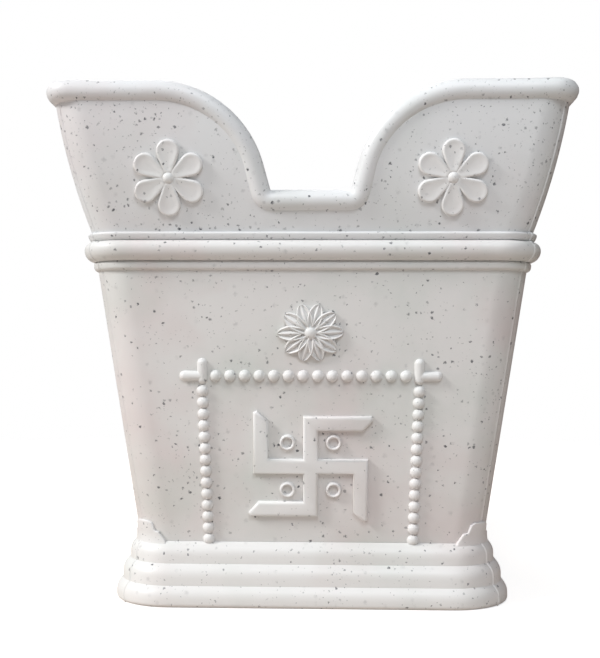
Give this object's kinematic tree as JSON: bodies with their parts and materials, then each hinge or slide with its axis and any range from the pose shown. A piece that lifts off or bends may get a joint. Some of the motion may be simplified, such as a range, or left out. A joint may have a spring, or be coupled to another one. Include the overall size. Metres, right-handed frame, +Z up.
{
  "type": "tulsi vrindavan planter",
  "caption": "Square tapered planter on a stepped plinth, with a flared notched crown, bead mouldings, raised traditional ornaments, a lift-out liner pot and a drain plug.",
  "frame": {"origin": "on the ground, under the centre of the plinth", "axes": "+Z is up along the planter's axis; the front side faces -Y and +X is to the right seen from the front"},
  "size_m": [0.3046, 0.3046, 0.3053],
  "materials": {
    "speckled_shell": "satin off-white plastic with grey specks",
    "liner": "plain off-white moulded plastic",
    "stopper": "plain grey moulded plastic",
    "seal": "black rubber"
  },
  "bodies": {
    "planter": {"back_bead_column_left": "speckled_shell", "back_bead_column_right": "speckled_shell", "back_bead_rail": "speckled_shell", "back_corner_scroll": "speckled_shell", "back_crown_flower_left": "speckled_shell", "back_crown_flower_right": "speckled_shell", "back_dot_rings": "speckled_shell", "back_rosette": "speckled_shell", "back_swastika": "speckled_shell", "base_plinth": "speckled_shell", "body_shell": "speckled_shell", "crown_shell": "speckled_shell", "front_bead_column_left": "speckled_shell", "front_bead_column_right": "speckled_shell", "front_bead_rail": "speckled_shell", "front_corner_scroll": "speckled_shell", "front_crown_flower_left": "speckled_shell", "front_crown_flower_right": "speckled_shell", "front_dot_rings": "speckled_shell", "front_rosette": "speckled_shell", "front_swastika": "speckled_shell", "left_bead_column_left": "speckled_shell", "left_bead_column_right": "speckled_shell", "left_bead_rail": "speckled_shell", "left_corner_scroll": "speckled_shell", "left_crown_flower_left": "speckled_shell", "left_crown_flower_right": "speckled_shell", "left_dot_rings": "speckled_shell", "left_rosette": "speckled_shell", "left_swastika": "speckled_shell", "right_bead_column_left": "speckled_shell", "right_bead_column_right": "speckled_shell", "right_bead_rail": "speckled_shell", "right_corner_scroll": "speckled_shell", "right_crown_flower_left": "speckled_shell", "right_crown_flower_right": "speckled_shell", "right_dot_rings": "speckled_shell", "right_rosette": "speckled_shell", "right_swastika": "speckled_shell"},
    "liner": {"inner_pot": "liner"},
    "stopper": {"drain_plug": "stopper", "plug_seal": "seal"}
  },
  "joints": [
    {"name": "liner_lift", "type": "slide", "parent": "planter", "child": "liner", "axis": [0, 0, 1], "range_m": [0, 0.26]},
    {"name": "plug_pull", "type": "slide", "parent": "planter", "child": "stopper", "axis": [0, 0, -1], "range_m": [0, 0.02]}
  ]
}
